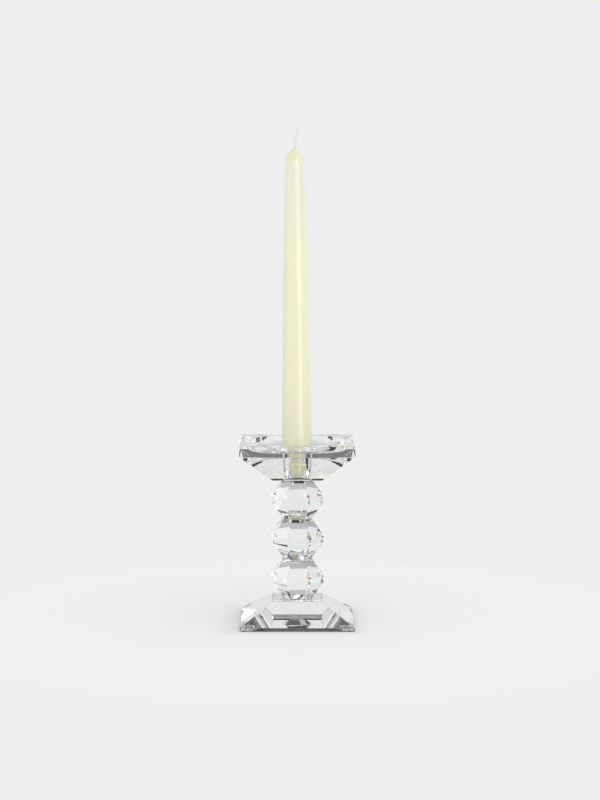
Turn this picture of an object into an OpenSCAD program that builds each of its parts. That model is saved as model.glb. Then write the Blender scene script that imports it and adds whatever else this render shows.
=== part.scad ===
// Glass candlestick with a dinner candle. Millimetres, +Z up.
// The origin is the centre of the plane that the bumper feet rest on.

/* [Foot] */
// Width of the square foot block
foot_w = 88; // [76:1:100]
// Height of the upright edge round the foot block
foot_rim_h = 1.8; // [1.2:0.1:4]
// Height of the bevelled slope above that edge
foot_slope_h = 16; // [12:0.5:20]
// Width of the square flat on top, under the stem
foot_top_w = 38.5; // [34:0.5:44]

/* [Bumper feet] */
// Height of the clear bumper feet
bumper_h = 1; // [0.8:0.1:2]
// Diameter of a bumper foot
bumper_d = 9; // [6:0.5:12]
// Distance from the axis to a bumper foot's centre, along X and along Y
bumper_at = 37; // [28:0.5:37]

/* [Stem balls] */
// Height of one eight-sided ball
ball_h = 31.2; // [28:0.2:34]
// Width across the front and side flats at the ball's girdle
ball_w = 40; // [36:0.5:44]
// Width across the four corner flats at the girdle
ball_corner_w = 41.5; // [40.5:0.1:44]
// Width across the flats at the ball's necks
neck_w = 22; // [20:0.5:24]
// Height of the upright band round the girdle
girdle_h = 5; // [3:0.5:8]
// Angle that the lower ball was bonded at, in degrees
lower_turn = 4; // [-8:1:8]
// Angle that the middle ball was bonded at, in degrees
middle_turn = 5; // [-8:1:8]
// Angle that the upper ball was bonded at, in degrees
upper_turn = 2; // [-8:1:8]

/* [Adhesive] */
// Thickness of the clear adhesive between two glass pieces
bond_t = 0.2; // [0.1:0.05:0.4]
// Diameter of the adhesive disc
bond_d = 21.2; // [16:0.2:21.6]

/* [Dish] */
// Width of the square dish
dish_w = 88; // [80:1:100]
// Height of the dish's upright edge
dish_rim_h = 8.4; // [7.5:0.1:12]
// Height of the slope under that edge
dish_slope_h = 20.8; // [18:0.2:24]
// Width of the square flat under the dish
dish_bottom_w = 38.5; // [34:0.5:44]
// Diameter of the round drip recess
recess_d = 77; // [60:1:80]
// Depth of the drip recess
recess_h = 6.3; // [5:0.1:7]
// Radius of the hollow where the recess's wall meets its floor
recess_round = 3.2; // [1:0.1:4.5]
// Diameter of the candle socket
socket_d = 22.2; // [22:0.1:23]
// Glass left under the socket
socket_floor = 6.2; // [2:0.1:8]

/* [Candle] */
// Length of the wax from its foot to its tip
candle_h = 246; // [150:1:300]
// Widest diameter, just above the drip recess
candle_d = 23; // [22.4:0.1:24]
// Diameter of the foot where it enters the socket
candle_foot_d = 21.5; // [20:0.1:21.5]
// Diameter of the foot where its blunt cone begins
cone_d = 19.6; // [17:0.1:20.5]
// Diameter of the foot's flat end
foot_end_d = 9.4; // [6:0.1:14]
// Height of the blunt cone
cone_h = 8.6; // [4:0.1:11]
// Diameter at the shoulder, under the pointed tip
shoulder_d = 14.7; // [12:0.1:18]
// Height of the pointed tip
tip_h = 9.8; // [7:0.1:14]
// Gap between the candle's foot and the bottom of the socket
seat_gap = 1.6; // [0.3:0.1:3]
// Angle that the candle leans to the left, in degrees
candle_lean = 0.5; // [0:0.1:0.5]

/* [Wick] */
// Diameter of the cotton wick
wick_d = 2; // [1.4:0.1:2.6]
// Length of wick above the wax, along its curve
wick_free = 17.5; // [8:0.5:22]
// Angle that the free wick curves through
wick_bend = 22; // [10:1:40]

/* [Hidden] */
$fn = 96;

glass = [0.86, 0.90, 0.90, 0.5];
ivory = [0.94, 0.93, 0.80];
cotton = [0.88, 0.88, 0.82];

// Heights of the joints, from the resting plane up.
foot_top = bumper_h + foot_rim_h + foot_slope_h;
ball_pitch = ball_h + bond_t;
dish_bottom = foot_top + 3 * ball_pitch + bond_t;
dish_h = dish_rim_h + dish_slope_h;
recess_floor = dish_bottom + dish_h - recess_h;
socket_bottom = dish_bottom + socket_floor;
candle_bottom = socket_bottom + seat_gap;

// Heights above the candle's own foot.
mouth = recess_floor - candle_bottom;
swell_h = 6;
shoulder = candle_h - tip_h;
body_steps = 8;
body_bulge = 0.5;
bend_r = wick_free * 180 / (PI * wick_bend);
// Extra length that carries a cut clear of a face.
over = 1;

// A wall that is as wide as its profile in X and z, and depth long in Y.
module wall(profile, depth) {
    rotate([90, 0, 0]) linear_extrude(depth, center = true) polygon(profile);
}

// A solid with 2 * turns flat sides, each with the profile's slopes, round the Z axis.
module cut_solid(profile, depth, turns) {
    intersection_for(k = [0 : turns - 1])
        rotate(180 * k / turns) wall(profile, depth);
}

// The profile of a straight-sided solid: [width, height] pairs, mirrored about the axis.
function mirrored(half) = concat(
    [for (p = half) [p[0] / 2, p[1]]],
    [for (k = [len(half) - 1 : -1 : 0]) [-half[k][0] / 2, half[k][1]]]);

module foot_block() {
    profile = mirrored([[foot_w, 0], [foot_w, foot_rim_h], [foot_top_w, foot_rim_h + foot_slope_h]]);
    color(glass) translate([0, 0, bumper_h]) cut_solid(profile, foot_w, 2);
}

module bumper(x, y) {
    color(glass) translate([x * bumper_at, y * bumper_at, 0]) cylinder(d = bumper_d, h = bumper_h);
}
module bumper_front_left() bumper(-1, -1);
module bumper_front_right() bumper(1, -1);
module bumper_back_left() bumper(-1, 1);
module bumper_back_right() bumper(1, 1);

// The adhesive disc under ball number level, counted from 0; level 3 is under the dish.
module bond(level) {
    color(glass) translate([0, 0, foot_top + level * ball_pitch]) cylinder(d = bond_d, h = bond_t);
}
module bond_foot() bond(0);
module bond_lower() bond(1);
module bond_upper() bond(2);
module bond_dish() bond(3);

// The profile across one pair of a ball's flats, at scale k of its width.
function ball_profile(k) =
    let(slope_h = (ball_h - girdle_h) / 2)
    mirrored([[k * neck_w, 0], [k * ball_w, slope_h], [k * ball_w, slope_h + girdle_h], [k * neck_w, ball_h]]);

// An eight-sided ball: two blunt pyramids that meet at an upright girdle, with narrower corner flats.
module ball(level, turn) {
    color(glass) translate([0, 0, foot_top + bond_t + level * ball_pitch]) rotate(turn) intersection() {
        cut_solid(ball_profile(1), 2 * ball_w, 2);
        rotate(45) cut_solid(ball_profile(ball_corner_w / ball_w), 2 * ball_w, 2);
    }
}
module ball_lower() ball(0, lower_turn);
module ball_middle() ball(1, middle_turn);
module ball_upper() ball(2, upper_turn);

// The round drip recess, as the solid that is cut away: a flat floor, a hollow and an upright wall.
module recess() {
    cylinder(d = recess_d - 2 * recess_round, h = recess_h + over);
    translate([0, 0, recess_round]) cylinder(d = recess_d, h = recess_h - recess_round + over);
    rotate_extrude() translate([recess_d / 2 - recess_round, recess_round]) circle(r = recess_round);
}

module dish() {
    profile = mirrored([[dish_bottom_w, 0], [dish_w, dish_slope_h], [dish_w, dish_h]]);
    color(glass) difference() {
        translate([0, 0, dish_bottom]) cut_solid(profile, dish_w, 2);
        translate([0, 0, recess_floor]) recess();
        translate([0, 0, socket_bottom]) cylinder(d = socket_d, h = recess_floor - socket_bottom + over);
    }
}

// Places the candle's own frame: its foot's centre at the socket's bottom, leaning about it.
module in_socket() {
    translate([0, 0, candle_bottom]) rotate([0, -candle_lean, 0]) children();
}

// Radius of the tapered body, t from 0 at the swell above the recess to 1 at the shoulder.
function body_r(t) = (candle_d + (shoulder_d - candle_d) * t) / 2 + body_bulge * sin(180 * t);

// Half of the wax's section: the blunt foot, the swell, the taper and the pointed tip.
wax_outline = concat(
    [[wick_d / 2, 0], [foot_end_d / 2, 0], [cone_d / 2, cone_h], [candle_foot_d / 2, mouth]],
    [for (k = [0 : body_steps])
        [body_r(k / body_steps), mouth + swell_h + (shoulder - mouth - swell_h) * k / body_steps]],
    [[shoulder_d / 2 * 0.95, shoulder + tip_h * 0.12],
     [shoulder_d / 2 * 0.62, shoulder + tip_h * 0.76],
     [shoulder_d / 2 * 0.36, shoulder + tip_h * 0.93],
     [wick_d / 2, candle_h]]);

module candle_wax() {
    color(ivory) in_socket() rotate_extrude() polygon(wax_outline);
}

// The wick runs the whole length of the wax, then curves to the right above it.
module candle_wick() {
    color(cotton) in_socket() {
        cylinder(d = wick_d, h = candle_h);
        translate([bend_r, 0, candle_h]) rotate([90, 0, 180])
            rotate_extrude(angle = wick_bend) translate([bend_r, 0]) circle(d = wick_d);
    }
}

foot_block();
bumper_front_left();
bumper_front_right();
bumper_back_left();
bumper_back_right();
bond_foot();
ball_lower();
bond_lower();
ball_middle();
bond_upper();
ball_upper();
bond_dish();
dish();
candle_wax();
candle_wick();
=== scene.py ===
"""Glass candlestick: looks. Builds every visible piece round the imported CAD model, in metres."""
import math

import bmesh
import bpy
from mathutils import Matrix, Vector


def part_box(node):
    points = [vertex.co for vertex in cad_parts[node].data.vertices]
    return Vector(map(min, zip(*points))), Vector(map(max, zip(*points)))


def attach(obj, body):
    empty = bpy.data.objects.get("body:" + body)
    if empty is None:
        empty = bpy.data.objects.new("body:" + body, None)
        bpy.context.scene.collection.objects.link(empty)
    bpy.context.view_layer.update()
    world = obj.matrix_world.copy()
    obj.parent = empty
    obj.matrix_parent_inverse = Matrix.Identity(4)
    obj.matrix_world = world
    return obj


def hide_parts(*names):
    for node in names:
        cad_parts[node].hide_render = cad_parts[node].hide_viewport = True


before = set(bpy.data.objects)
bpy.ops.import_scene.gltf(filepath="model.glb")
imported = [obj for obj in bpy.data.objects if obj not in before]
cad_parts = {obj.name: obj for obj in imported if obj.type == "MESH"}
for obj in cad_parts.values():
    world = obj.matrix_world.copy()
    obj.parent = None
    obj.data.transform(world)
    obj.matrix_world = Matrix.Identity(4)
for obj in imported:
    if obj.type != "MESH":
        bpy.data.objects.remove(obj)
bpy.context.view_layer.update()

MM = 0.001


# ---------------------------------------------------------------- sizes, from the frame and the design
def low(node):
    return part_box(node)[0]


def high(node):
    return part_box(node)[1]


FOOT_RIM_H = 1.8 * MM
FOOT_TOP_W = 38.5 * MM
NECK_W = 22 * MM
BALL_W = 40 * MM
GIRDLE_H = 5 * MM
CORNER_RATIO = 41.5 / 40  # a ball's width across its corner flats, against its front and side flats
BALL_TURNS = {"ball_lower": 4, "ball_middle": 5, "ball_upper": 2}  # degrees about the stem
DISH_RIM_H = 8.4 * MM
DISH_BOTTOM_W = 38.5 * MM
RECESS_R = 38.5 * MM
RECESS_H = 6.3 * MM
RECESS_ROUND = 3.2 * MM  # hollow where the recess's wall meets its floor
SOCKET_R = 11.1 * MM
SOCKET_FLOOR = 6.2 * MM
SEAT_GAP = 1.6 * MM
CUT = 0.22 * MM  # width of the polished chamfer on every cut edge
ROUND_STEPS = 160  # facets round the recess and the socket
HOLLOW_STEPS = 12  # facets down the recess's hollow
BOND_STEPS = 96  # facets round an adhesive disc
BUMPER_STEPS = 48  # facets round a bumper
BOND_R = (high("bond_foot").x - low("bond_foot").x) / 2

CANDLE_H = 246 * MM
CANDLE_LEAN = math.radians(0.5)  # to the left
END_R, CONE_R, CONE_H, FOOT_R = 4.7 * MM, 9.8 * MM, 8.6 * MM, 10.75 * MM
BODY_R, SHOULDER_R, BULGE, SWELL_H, TIP_H = 11.5 * MM, 7.35 * MM, 0.5 * MM, 6 * MM, 9.8 * MM
WAX_STEPS = 96  # facets round the candle
BODY_STEPS = 40  # rings up its tapered body
WICK_R, WICK_FREE, WICK_BEND = 1 * MM, 17.5 * MM, math.radians(22)

recess_floor = high("dish").z - RECESS_H
socket_floor = low("dish").z + SOCKET_FLOOR
candle_foot = socket_floor + SEAT_GAP
# From the candle's own frame, upright on its foot, to the row frame.
IN_SOCKET = Matrix.Translation((0, 0, candle_foot)) @ Matrix.Rotation(-CANDLE_LEAN, 4, "Y")


# ---------------------------------------------------------------- mesh helpers
def ring(bm, radius, z, count, centre=(0, 0)):
    """A closed loop of vertices on a circle."""
    x, y = centre
    turns = [2 * math.pi * (k + 0.5) / count for k in range(count)]
    return [bm.verts.new((x + radius * math.cos(t), y + radius * math.sin(t), z)) for t in turns]


def skin(bm, first, second, smooth=True):
    """Quads between two loops with the same number of vertices."""
    count = len(first)
    for k in range(count):
        face = bm.faces.new((first[k], first[(k + 1) % count], second[(k + 1) % count], second[k]))
        face.smooth = smooth


def cut_solid(bm, loops):
    """A solid with flat cut sides through these loops, from the bottom up, with polished chamfers."""
    bm.faces.new(list(reversed(loops[0])))
    bm.faces.new(loops[-1])
    for first, second in zip(loops, loops[1:]):
        skin(bm, first, second, smooth=False)
    bmesh.ops.recalc_face_normals(bm, faces=bm.faces[:])
    bmesh.ops.bevel(bm, geom=bm.edges[:], offset=CUT, offset_type="OFFSET", segments=1, affect="EDGES")


def square_loops(bm, levels):
    """Square loops: levels are (width, z)."""
    return [ring(bm, width / math.sqrt(2), z, 4) for width, z in levels]


def ball_loops(bm, levels, turn):
    """Eight-sided loops with wide front and side flats: levels are (width, z), turn is in degrees."""
    reach = CORNER_RATIO * math.sqrt(2) - 1  # half of a front flat, against half of the ball's width
    corners = [(1, -reach), (1, reach), (reach, 1), (-reach, 1)]
    corners += [(-x, -y) for x, y in corners]
    spin = Matrix.Rotation(math.radians(turn), 3, "Z")
    return [[bm.verts.new(spin @ Vector((x * w / 2, y * w / 2, z))) for x, y in corners] for w, z in levels]


def open_cap(bm, z):
    """Removes the flat cap at height z and returns its border edges."""
    bm.faces.ensure_lookup_table()
    level_faces = [face for face in bm.faces if abs(face.normal.z) > 0.999]
    cap = min(level_faces, key=lambda face: abs(face.calc_center_median().z - z))
    edges = list(cap.edges)
    bmesh.ops.delete(bm, geom=[cap], context="FACES_ONLY")
    return edges


def loop_edges(bm, loop):
    """The edges of a closed loop of vertices, made where there is none yet."""
    pairs = [(loop[k], loop[(k + 1) % len(loop)]) for k in range(len(loop))]
    return [bm.edges.get(pair) or bm.edges.new(pair) for pair in pairs]


def fill_flat(bm, edges):
    """Flat fill between an outer border and the loops inside it."""
    made = bmesh.ops.triangle_fill(bm, use_beauty=True, edges=edges)
    for face in made["geom"]:
        if isinstance(face, bmesh.types.BMFace):
            face.smooth = False


def bonded_cap(bm, z, radius=BOND_R, steps=BOND_STEPS, centres=((0, 0),)):
    """Turns the cap at height z into a flat with round bonded areas, which take material slot 1."""
    edges = open_cap(bm, z)
    for centre in centres:
        loop = ring(bm, radius, z, steps, centre)
        edges += loop_edges(bm, loop)
        bm.faces.new(loop).material_index = 1
    fill_flat(bm, edges)


def tube(bm, path, radius, steps=10):
    """A capped tube with a round section along a list of (centre, normal, binormal)."""
    turns = [2 * math.pi * k / steps for k in range(steps)]
    loops = []
    for centre, normal, binormal in path:
        spokes = [math.cos(t) * normal + math.sin(t) * binormal for t in turns]
        loops.append([bm.verts.new(centre + radius * spoke) for spoke in spokes])
    for first, second in zip(loops, loops[1:]):
        skin(bm, first, second)
    bm.faces.new(loops[0])
    bm.faces.new(loops[-1])


def finish_mesh(bm, name, materials, body, nodes):
    """Makes the object, puts it on its body and hides the CAD nodes that it stands for."""
    bmesh.ops.recalc_face_normals(bm, faces=bm.faces[:])
    mesh = bpy.data.meshes.new(name)
    bm.to_mesh(mesh)
    bm.free()
    for material in materials:
        mesh.materials.append(material)
    piece = bpy.data.objects.new(name, mesh)
    bpy.context.scene.collection.objects.link(piece)
    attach(piece, body)
    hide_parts(*nodes)
    return piece


# ---------------------------------------------------------------- shader helpers
def wire(tree, value, socket):
    """Links an output socket, or sets a plain value."""
    if isinstance(value, bpy.types.NodeSocket):
        tree.links.new(value, socket)
    else:
        socket.default_value = value


def calc(tree, operation, *values):
    """A math node on these sockets or plain values."""
    made = tree.nodes.new("ShaderNodeMath")
    made.operation = operation
    for value, socket in zip(values, made.inputs):
        wire(tree, value, socket)
    return made.outputs[0]


def ramp(tree, value, start, end, first=0.0, second=1.0):
    """first up to start, second from end, and a smooth change between them."""
    made = tree.nodes.new("ShaderNodeMapRange")
    made.interpolation_type = "SMOOTHSTEP"
    for item, socket in zip((value, start, end, first, second), made.inputs):
        wire(tree, item, socket)
    return made.outputs[0]


def window(tree, value, start, end, soft):
    """1 between start and end, 0 outside, with soft borders."""
    rise = ramp(tree, value, start - soft, start + soft)
    fall = ramp(tree, value, end - soft, end + soft, 1.0, 0.0)
    return calc(tree, "MULTIPLY", rise, fall)


def grey(level):
    return (level, level, level, 1)


def mix(tree, factor, first, second):
    """first where factor is 0, second where it is 1."""
    made = tree.nodes.new("ShaderNodeMix")
    made.data_type = "RGBA"
    wire(tree, factor, made.inputs["Factor"])
    wire(tree, first, made.inputs[6])
    wire(tree, second, made.inputs[7])
    return made.outputs[2]


def noise(tree, scale, detail=2.0, roughness=0.5, stretch=(1, 1, 1)):
    """Noise in the piece's own coordinates, in metres; scale is in features per metre."""
    place = tree.nodes.new("ShaderNodeTexCoord")
    mapping = tree.nodes.new("ShaderNodeMapping")
    mapping.inputs["Scale"].default_value = stretch
    tree.links.new(place.outputs["Object"], mapping.inputs["Vector"])
    made = tree.nodes.new("ShaderNodeTexNoise")
    made.inputs["Scale"].default_value = scale
    made.inputs["Detail"].default_value = detail
    made.inputs["Roughness"].default_value = roughness
    tree.links.new(mapping.outputs[0], made.inputs["Vector"])
    return made.outputs["Fac"]


def bump(tree, height, distance, strength=1.0):
    """A bump whose height 1 is distance metres."""
    made = tree.nodes.new("ShaderNodeBump")
    made.inputs["Distance"].default_value = distance
    made.inputs["Strength"].default_value = strength
    tree.links.new(height, made.inputs["Height"])
    return made.outputs[0]


def new_material(name, kind="ShaderNodeBsdfPrincipled"):
    """A material with one shader node, and its node tree and that shader."""
    material = bpy.data.materials.new(name)
    material.use_nodes = True
    tree = material.node_tree
    tree.nodes.clear()
    output = tree.nodes.new("ShaderNodeOutputMaterial")
    shader = tree.nodes.new(kind)
    tree.links.new(shader.outputs[0], output.inputs["Surface"])
    return material, tree, shader


# ---------------------------------------------------------------- materials
def clear_material(name, colour, ior, rough_low, rough_high, wave, transmission=1.0):
    """A clear solid: the roughness wanders between two values, and the surface waves slightly."""
    material, tree, shader = new_material(name)
    shader.inputs["Base Color"].default_value = colour
    shader.inputs["IOR"].default_value = ior
    shader.inputs["Transmission Weight"].default_value = transmission
    wire(tree, ramp(tree, noise(tree, 45, 3.0), 0.35, 0.7, rough_low, rough_high), shader.inputs["Roughness"])
    wire(tree, bump(tree, noise(tree, 130, 1.0), wave), shader.inputs["Normal"])
    return material


PALER_FROM, PALER_TO = 0.28, 0.35  # heights above the table between which the wax grows paler
TIP_SHADE_FROM, TIP_SHADE_TO = 0.356, 0.361  # heights between which the darker, yellower painted shade on the tip begins


def wax_material():
    """Ivory wax: faint cloudy colour, a satin skin and shallow dips from the mould."""
    material, tree, shader = new_material("wax_ivory")
    cloud = noise(tree, 26, 4.0, 0.5, (1, 1, 0.15))
    body = mix(tree, cloud, (0.88, 0.865, 0.64, 1), (0.91, 0.90, 0.70, 1))
    place = tree.nodes.new("ShaderNodeSeparateXYZ")
    tree.links.new(tree.nodes.new("ShaderNodeTexCoord").outputs["Object"], place.inputs[0])
    body = mix(tree, ramp(tree, place.outputs["Z"], PALER_FROM, PALER_TO), body, (0.85, 0.86, 0.71, 1))
    # Painted shade: the tip is darker and yellower.
    tip_shade = ramp(tree, place.outputs["Z"], TIP_SHADE_FROM, TIP_SHADE_TO)
    wire(tree, mix(tree, tip_shade, body, (0.80, 0.80, 0.57, 1)), shader.inputs["Base Color"])
    wire(tree, ramp(tree, noise(tree, 420, 2.0), 0.3, 0.7, 0.21, 0.26), shader.inputs["Roughness"])
    shader.inputs["IOR"].default_value = 1.44
    shader.inputs["Subsurface Weight"].default_value = 0.75
    shader.inputs["Subsurface Radius"].default_value = (1.0, 0.85, 0.5)
    shader.inputs["Subsurface Scale"].default_value = 0.004
    streaks = noise(tree, 40, 1.0, 0.5, (1, 1, 0.12))
    grain = calc(tree, "MULTIPLY", noise(tree, 900, 2.0), 0.1)
    wire(tree, bump(tree, calc(tree, "ADD", streaks, grain), 0.07 * MM), shader.inputs["Normal"])
    return material


def cotton_material():
    """Lightly waxed cotton: fine fibres along the strands."""
    material, tree, shader = new_material("cotton_braid")
    fibre = noise(tree, 2600, 3.0, 0.6, (1, 1, 0.25))
    wire(tree, mix(tree, fibre, (0.70, 0.70, 0.64, 1), (0.93, 0.93, 0.90, 1)), shader.inputs["Base Color"])
    wire(tree, ramp(tree, fibre, 0.3, 0.7, 0.6, 0.85), shader.inputs["Roughness"])
    shader.inputs["Subsurface Weight"].default_value = 0.3
    shader.inputs["Subsurface Radius"].default_value = (1.0, 1.0, 0.9)
    shader.inputs["Subsurface Scale"].default_value = 0.0004
    wire(tree, bump(tree, fibre, 0.08 * MM), shader.inputs["Normal"])
    return material


CRYSTAL = clear_material("crystal_glass", (0.995, 1.0, 0.998, 1), 1.52, 0.0, 0.012, 0.01 * MM)
ADHESIVE = clear_material("clear_adhesive", (0.99, 0.985, 0.95, 1), 1.50, 0.0, 0.03, 0.03 * MM)
BUMPER = clear_material("clear_bumper", (0.78, 0.79, 0.79, 1), 1.46, 0.25, 0.4, 0.03 * MM, 0.9)
BONDED = new_material("bonded_face", "ShaderNodeBsdfTransparent")[0]  # light passes straight on
WAX = wax_material()
COTTON = cotton_material()

# ---------------------------------------------------------------- foot block and bumpers
foot_low, foot_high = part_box("foot_block")
foot_w = foot_high.x - foot_low.x
bumpers = ["bumper_front_left", "bumper_front_right", "bumper_back_left", "bumper_back_right"]
bumper_r = (high(bumpers[0]).x - low(bumpers[0]).x) / 2
bumper_centres = [((low(n).x + high(n).x) / 2, (low(n).y + high(n).y) / 2) for n in bumpers]

bm = bmesh.new()
foot_levels = [(foot_w, foot_low.z), (foot_w, foot_low.z + FOOT_RIM_H), (FOOT_TOP_W, foot_high.z)]
cut_solid(bm, square_loops(bm, foot_levels))
bonded_cap(bm, foot_high.z)
bonded_cap(bm, foot_low.z, bumper_r, BUMPER_STEPS, bumper_centres)
finish_mesh(bm, "foot_block_glass", [CRYSTAL, BONDED], "holder", ["foot_block"])

# (share of the radius, share of the height) down a bumper's rounded side.
BUMPER_SIDE = [(1.0, 1.0), (0.985, 0.5), (0.95, 0.22), (0.88, 0.07), (0.78, 0.02)]
for node, centre in zip(bumpers, bumper_centres):
    bm = bmesh.new()
    pad_h = high(node).z - low(node).z
    loops = [ring(bm, bumper_r * r, low(node).z + pad_h * z, BUMPER_STEPS, centre) for r, z in BUMPER_SIDE]
    bm.faces.new(loops[0]).material_index = 1
    for first, second in zip(loops, loops[1:]):
        skin(bm, first, second)
    bm.faces.new(loops[-1])
    finish_mesh(bm, node + "_pad", [BUMPER, BONDED], "holder", [node])

# ---------------------------------------------------------------- balls and bonds
for node, turn in BALL_TURNS.items():
    lo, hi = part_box(node)
    slope = (hi.z - lo.z - GIRDLE_H) / 2
    levels = [(NECK_W, lo.z), (BALL_W, lo.z + slope), (BALL_W, hi.z - slope), (NECK_W, hi.z)]
    bm = bmesh.new()
    cut_solid(bm, ball_loops(bm, levels, turn))
    bonded_cap(bm, lo.z)
    bonded_cap(bm, hi.z)
    finish_mesh(bm, node + "_glass", [CRYSTAL, BONDED], "holder", [node])

for node in ("bond_foot", "bond_lower", "bond_upper", "bond_dish"):
    lo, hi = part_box(node)
    bm = bmesh.new()
    bottom = ring(bm, BOND_R, lo.z, BOND_STEPS)
    top = ring(bm, BOND_R, hi.z, BOND_STEPS)
    skin(bm, bottom, top)
    for loop in (bottom, top):
        bm.faces.new(loop).material_index = 1
    finish_mesh(bm, node + "_film", [ADHESIVE, BONDED], "holder", [node])

# ---------------------------------------------------------------- dish
lo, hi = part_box("dish")
dish_w = hi.x - lo.x
bm = bmesh.new()
cut_solid(bm, square_loops(bm, [(DISH_BOTTOM_W, lo.z), (dish_w, hi.z - DISH_RIM_H), (dish_w, hi.z)]))
bonded_cap(bm, lo.z)
border = open_cap(bm, hi.z)
lip = ring(bm, RECESS_R + CUT, hi.z, ROUND_STEPS)
wall_top = ring(bm, RECESS_R, hi.z - CUT, ROUND_STEPS)
hollow = []
for k in range(HOLLOW_STEPS + 1):
    turn = math.pi / 2 * (1 - k / HOLLOW_STEPS)
    reach = RECESS_R - RECESS_ROUND * (1 - math.sin(turn))
    hollow.append(ring(bm, reach, recess_floor + RECESS_ROUND * (1 - math.cos(turn)), ROUND_STEPS))
mouth_lip = ring(bm, SOCKET_R + CUT, recess_floor, ROUND_STEPS)
mouth = ring(bm, SOCKET_R, recess_floor - CUT, ROUND_STEPS)
bore_foot = ring(bm, SOCKET_R, socket_floor + CUT, ROUND_STEPS)
bore_floor = ring(bm, SOCKET_R - CUT, socket_floor, ROUND_STEPS)
skin(bm, lip, wall_top)
skin(bm, wall_top, hollow[0])
for first, second in zip(hollow, hollow[1:]):
    skin(bm, first, second)
skin(bm, hollow[-1], mouth_lip)
skin(bm, mouth_lip, mouth)
skin(bm, mouth, bore_foot)
skin(bm, bore_foot, bore_floor)
bm.faces.new(bore_floor)
fill_flat(bm, border + loop_edges(bm, lip))
dish = finish_mesh(bm, "dish_glass", [CRYSTAL, BONDED], "holder", ["dish"])
dish.data.set_sharp_from_angle(angle=math.radians(15))


# ---------------------------------------------------------------- candle
def cut_corners(knots):
    """The same line of (radius, height) points with every inner corner cut off."""
    made = [knots[0]]
    for (r0, z0), (r1, z1) in zip(knots, knots[1:]):
        made.append((0.75 * r0 + 0.25 * r1, 0.75 * z0 + 0.25 * z1))
        made.append((0.25 * r0 + 0.75 * r1, 0.25 * z0 + 0.75 * z1))
    return made + [knots[-1]]


def wax_profile():
    """(radius, height) from the foot to the wick, with rounded corners."""
    mouth_h = recess_floor - candle_foot
    shoulder = CANDLE_H - TIP_H
    start = mouth_h + SWELL_H
    knots = [(0.6 * END_R, 0), (END_R, 0.05 * MM), (0.5 * (END_R + CONE_R), 0.5 * CONE_H), (CONE_R, CONE_H)]
    knots.append((FOOT_R, mouth_h))
    for k in range(BODY_STEPS + 1):
        t = k / BODY_STEPS
        radius = BODY_R + (SHOULDER_R - BODY_R) * t + BULGE * math.sin(math.pi * t)
        knots.append((radius, start + (shoulder - start) * t))
    for r, t in ((0.95, 0.12), (0.80, 0.50), (0.62, 0.76), (0.36, 0.93)):
        knots.append((SHOULDER_R * r, shoulder + TIP_H * t))
    knots.append((0.8 * WICK_R, CANDLE_H))
    return cut_corners(cut_corners(cut_corners(knots)))


def wax_dip(turn, height):
    """How far the moulded skin wanders from round, as a share of the radius."""
    slow = math.sin(2 * turn + 21 * height) + 0.6 * math.sin(3 * turn - 34 * height + 1.3)
    return 0.0022 * slow + 0.0012 * math.sin(turn + 95 * height + 0.4)


bm = bmesh.new()
loops = []
for radius, height in wax_profile():
    loop = []
    for k in range(WAX_STEPS):
        turn = 2 * math.pi * k / WAX_STEPS
        reach = radius * (1 + wax_dip(turn, height))
        point = Vector((reach * math.cos(turn), reach * math.sin(turn), height))
        loop.append(bm.verts.new(IN_SOCKET @ point))
    loops.append(loop)
for first, second in zip(loops, loops[1:]):
    skin(bm, first, second)
bm.faces.new(loops[0])
bm.faces.new(loops[-1])
finish_mesh(bm, "candle_body", [WAX], "candle", ["candle_wax"])


def wick_place(s):
    """Centre, normal and binormal of the wick's centreline, s metres above the wax's tip."""
    bend_r = WICK_FREE / WICK_BEND
    a = max(s, 0) / bend_r
    centre = Vector((bend_r * (1 - math.cos(a)), 0, CANDLE_H + (bend_r * math.sin(a) if s > 0 else s)))
    turn = IN_SOCKET.to_3x3()
    return IN_SOCKET @ centre, turn @ Vector((math.cos(a), 0, -math.sin(a))), turn @ Vector((0, 1, 0))


# Three strands wind round a core. They start just inside the wax and end one after another.
STRANDS, STRAND_R, STRAND_PITCH, STRAND_AT = 3, 0.5 * MM, 5.5 * MM, 0.46 * MM
STRAND_ROOT, STRAND_STEP, STRAND_RINGS = 5 * MM, 0.5 * MM, 90
CORE_R = 0.45 * MM
bm = bmesh.new()
for strand in range(STRANDS):
    path = []
    end = WICK_FREE - STRAND_STEP * strand
    for k in range(STRAND_RINGS + 1):
        s = -STRAND_ROOT + (end + STRAND_ROOT) * k / STRAND_RINGS
        centre, normal, binormal = wick_place(s)
        turn = 2 * math.pi * (s / STRAND_PITCH + strand / STRANDS)
        spoke = math.cos(turn) * normal + math.sin(turn) * binormal
        path.append((centre + STRAND_AT * spoke, normal, binormal))
    tube(bm, path, STRAND_R)
core = (-CANDLE_H, -CANDLE_H / 2, -STRAND_ROOT, 0, WICK_FREE * 0.4, WICK_FREE * 0.8)
tube(bm, [wick_place(s) for s in core], CORE_R)
finish_mesh(bm, "candle_wick_braid", [COTTON], "candle", ["candle_wick"])

# ---------------------------------------------------------------- camera
CAMERA_D, CAMERA_H, CAMERA_PITCH = 1.65, 0.324, math.radians(5.2)
camera = bpy.data.objects.new("camera", bpy.data.cameras.new("camera"))
bpy.context.scene.collection.objects.link(camera)
camera.data.sensor_width = 36
camera.data.lens = 96
camera.data.shift_x = 0.0034
camera.data.clip_start, camera.data.clip_end = 0.1, 100
camera.location = (0, -CAMERA_D, CAMERA_H)
camera.rotation_euler = (math.pi / 2 - CAMERA_PITCH, 0, 0)
bpy.context.scene.camera = camera

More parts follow.
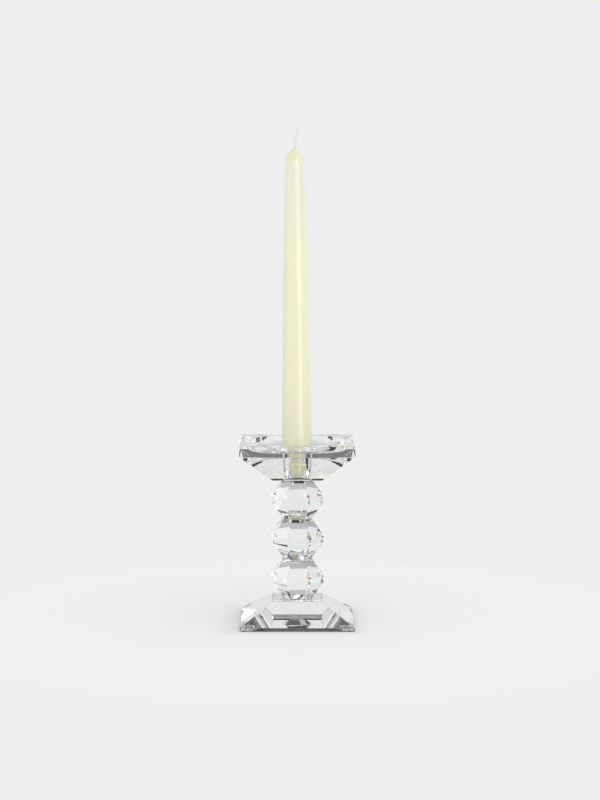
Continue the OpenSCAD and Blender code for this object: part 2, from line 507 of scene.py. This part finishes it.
# ---------------------------------------------------------------- floor
# A round sheet that fades out into the backdrop, which has the same tone. Part of the object's shade on
# it is painted, and so are the tones that the glass shows of it.
FLOOR_R = 0.34
FADE = (0.24, 0.33)  # distances from the axis
FLOOR_TONE = grey(0.865)
NEAR_SHADE_TONE = grey(0.80)  # painted shade close round the foot
NEAR = (0.044, 0.060)  # distances from the axis along X or Y
NEAR_LEFT = 3 * MM  # how far that shade lies to the left
STEEP_SHADE_TONE = (0.48, 0.48, 0.50, 1)  # painted shade: darker where it is seen through the glass from steep above
STEEP_TO_PLAIN = (0.46, 0.80)  # Facing values; Facing is 0 looking straight down and 1 along the sheet
UNDER = (0.0445, 0.0405)  # distances from the axis where the painted shade under the foot begins and is full
UNDER_FRONT, UNDER_MIDDLE, UNDER_BACK = grey(0.045), grey(0.80), grey(0.12)
MIDDLE_FROM, BACK_FROM = (0.010, 0.018), (0.030, 0.037)  # along Y, where each begins and is full
UNDER_FRONT_STEEP = grey(0.40)  # the front from very steep above, except close to the axis
VERY_STEEP, OFF_AXIS = (0.26, 0.34), (0.014, 0.018)  # Facing values, and distances from the axis
UNDER_LOW_LIGHT = grey(1.7)  # painted light: through the glass at a low angle, more than a real sheet returns
LOW = (0.62, 0.80)  # Facing values

bm = bmesh.new()
bm.faces.new(ring(bm, FLOOR_R, 0, 96))
mesh = bpy.data.meshes.new("floor")
bm.to_mesh(mesh)
bm.free()
floor = bpy.data.objects.new("floor", mesh)
bpy.context.scene.collection.objects.link(floor)

material, tree, shader = new_material("floor", "ShaderNodeBsdfDiffuse")
place = tree.nodes.new("ShaderNodeSeparateXYZ")
tree.links.new(tree.nodes.new("ShaderNodeTexCoord").outputs["Object"], place.inputs[0])
off_x = calc(tree, "ABSOLUTE", place.outputs["X"])
off_y = calc(tree, "ABSOLUTE", place.outputs["Y"])
off_axis = calc(tree, "SQRT", calc(tree, "MULTIPLY_ADD", off_x, off_x, calc(tree, "MULTIPLY", off_y, off_y)))
shade_x = calc(tree, "ABSOLUTE", calc(tree, "ADD", place.outputs["X"], NEAR_LEFT))
plain = mix(tree, ramp(tree, calc(tree, "MAXIMUM", shade_x, off_y), *NEAR), NEAR_SHADE_TONE, FLOOR_TONE)
angle = tree.nodes.new("ShaderNodeLayerWeight")
angle.inputs["Blend"].default_value = 0.5
low_angle = angle.outputs["Facing"]
behind = tree.nodes.new("ShaderNodeLightPath").outputs["Is Transmission Ray"]
through_glass = mix(tree, ramp(tree, low_angle, *STEEP_TO_PLAIN), STEEP_SHADE_TONE, plain)
tone = mix(tree, behind, plain, through_glass)
# Painted shade under the foot: dark in front, pale in the middle, dark next to the back edge.
very_steep = ramp(tree, low_angle, *VERY_STEEP, 1.0, 0.0)
steep_front = calc(tree, "MULTIPLY", very_steep, ramp(tree, off_axis, *OFF_AXIS))
shade = mix(tree, steep_front, UNDER_FRONT, UNDER_FRONT_STEEP)
shade = mix(tree, ramp(tree, place.outputs["Y"], *MIDDLE_FROM), shade, UNDER_MIDDLE)
shade = mix(tree, ramp(tree, place.outputs["Y"], *BACK_FROM), shade, UNDER_BACK)
low_behind = calc(tree, "MULTIPLY", behind, ramp(tree, low_angle, *LOW))
shade = mix(tree, low_behind, shade, UNDER_LOW_LIGHT)
under = ramp(tree, calc(tree, "MAXIMUM", off_x, off_y), *UNDER)
wire(tree, mix(tree, under, tone, shade), shader.inputs["Color"])
fade = tree.nodes.new("ShaderNodeMixShader")
wire(tree, ramp(tree, off_axis, *FADE), fade.inputs[0])
tree.links.new(shader.outputs[0], fade.inputs[1])
tree.links.new(tree.nodes.new("ShaderNodeBsdfTransparent").outputs[0], fade.inputs[2])
tree.links.new(fade.outputs[0], tree.nodes["Material Output"].inputs["Surface"])
mesh.materials.append(material)

# ---------------------------------------------------------------- studio light, by direction only
# A painted studio, tuned for the main view. The orange and violet tones and cards stand in for the
# colours that real glass splits from white light.
BACKDROP = grey(0.855)
# (elevation in degrees, colour) of the studio as the glass sees it, from below up.
STUDIO = [(-90, (0.55, 0.55, 0.56)),
          (-30, (0.58, 0.58, 0.60)),
          (-12, (0.84, 0.84, 0.84)),
          (18, (0.83, 0.84, 0.84)),
          (25.6, (0.82, 0.82, 0.80)),
          (26.6, (0.70, 0.30, 0.08)),
          (27.8, (0.02, 0.02, 0.025)),
          (60, (0.045, 0.045, 0.06)),
          (64, (0.10, 0.08, 0.20)),
          (69, (0.20, 0.20, 0.20)),
          (90, (0.21, 0.21, 0.21))]
KEY_FROM = Vector((0.20, -0.50, 0.74)).normalized()  # the upper right, in front
KEY_TONE = 0.72
FILL_BELOW, FILL_ABOVE = 0.86, 0.72  # for matt surfaces, below and above the horizon
THROUGH_LOW, THROUGH_HIGH = 1.6, 0.5  # for matt surfaces that are lit through the glass, by elevation

world = bpy.data.worlds.new("studio")
bpy.context.scene.world = world
world.use_nodes = True
tree = world.node_tree
background = tree.nodes["Background"]
direction = tree.nodes.new("ShaderNodeTexCoord").outputs["Generated"]
split = tree.nodes.new("ShaderNodeSeparateXYZ")
tree.links.new(direction, split.inputs[0])
elevation = calc(tree, "MULTIPLY", calc(tree, "ARCSINE", split.outputs["Z"]), 180 / math.pi)
azimuth = calc(tree, "MULTIPLY", calc(tree, "ARCTAN2", split.outputs["X"], split.outputs["Y"]), 180 / math.pi)
aside = calc(tree, "ABSOLUTE", azimuth)

bands = tree.nodes.new("ShaderNodeValToRGB")
wire(tree, calc(tree, "MULTIPLY_ADD", elevation, 1 / 180, 0.5), bands.inputs[0])
stops = bands.color_ramp.elements
while len(stops) < len(STUDIO):
    stops.new(1.0)
for stop, (angle, colour) in zip(stops, STUDIO):
    stop.position = (angle + 90) / 180
    stop.color = (*colour, 1)
seen = bands.outputs["Color"]

# (side, azimuth from, to, elevation from, to, softness, colour), in degrees from straight behind the
# object. side is azimuth for a card on one side, positive to the right, and aside for one on both.
CARDS = [(aside, 23.5, 28, -6.9, -5.2, 0.5, (0.01, 0.01, 0.015)),
         (aside, 26.6, 29.0, -7.5, -6.3, 0.4, (0.05, 0.05, 0.05)),
         (azimuth, -39, -31.8, 2, 11, 0.6, (0.85, 0.58, 0.36)),
         (azimuth, -39, -31.8, -14, -1, 0.6, (0.10, 0.09, 0.18)),
         (aside, 140, 164, -60, 30, 4, (0.11, 0.11, 0.12)),
         (aside, 160, 181, -12, 12, 3, (0.11, 0.11, 0.12)),
         (aside, 150, 176, 32, 64, 2, (0.55, 0.56, 0.55)),
         (azimuth, 72, 128, -30, 14, 4, (0.05, 0.05, 0.055)),
         (aside, 36, 62, 20, 38, 3, (0.72, 0.73, 0.74)),
         (aside, 72, 104, 24, 50, 3, (1.8, 1.8, 1.78)),
         (azimuth, 134, 161, -25, 45, 5, (3.8, 3.8, 3.6))]
for side, az_from, az_to, el_from, el_to, soft, colour in CARDS:
    around = window(tree, side, az_from, az_to, soft)
    card = calc(tree, "MULTIPLY", around, window(tree, elevation, el_from, el_to, soft))
    seen = mix(tree, card, seen, (*colour, 1))


def even(level):
    """The same level in all three colours, in the world's tree."""
    made = tree.nodes.new("ShaderNodeCombineColor")
    for socket in made.inputs[:3]:
        wire(tree, level, socket)
    return made.outputs[0]


# Matt surfaces are lit by a wide, soft key light, and by a fill that is a little stronger from below.
key = tree.nodes.new("ShaderNodeVectorMath")
key.operation = "DOT_PRODUCT"
tree.links.new(direction, key.inputs[0])
key.inputs[1].default_value = KEY_FROM
lobe = calc(tree, "POWER", calc(tree, "MAXIMUM", key.outputs["Value"], 0.0), 2.0)
fill = ramp(tree, elevation, -3, 3, FILL_BELOW, FILL_ABOVE)
soft_light = calc(tree, "MULTIPLY_ADD", lobe, KEY_TONE, fill)
# Light that comes to a matt surface through the glass is strong except from above.
side_light = ramp(tree, elevation, 30, 65, THROUGH_LOW, THROUGH_HIGH)

path = tree.nodes.new("ShaderNodeLightPath")
after_matt = calc(tree, "GREATER_THAN", path.outputs["Diffuse Depth"], 0.5)
seen = mix(tree, after_matt, seen, even(side_light))
lit = mix(tree, path.outputs["Is Diffuse Ray"], seen, even(soft_light))
wire(tree, mix(tree, path.outputs["Is Camera Ray"], lit, BACKDROP), background.inputs["Color"])
background.inputs["Strength"].default_value = 1.0
world.cycles.sampling_method = "NONE"

bpy.context.scene.view_settings.view_transform = "Standard"
bpy.context.scene.cycles.max_bounces = 32
bpy.context.scene.cycles.transmission_bounces = 32
bpy.context.scene.cycles.glossy_bounces = 16
bpy.context.scene.cycles.transparent_max_bounces = 32
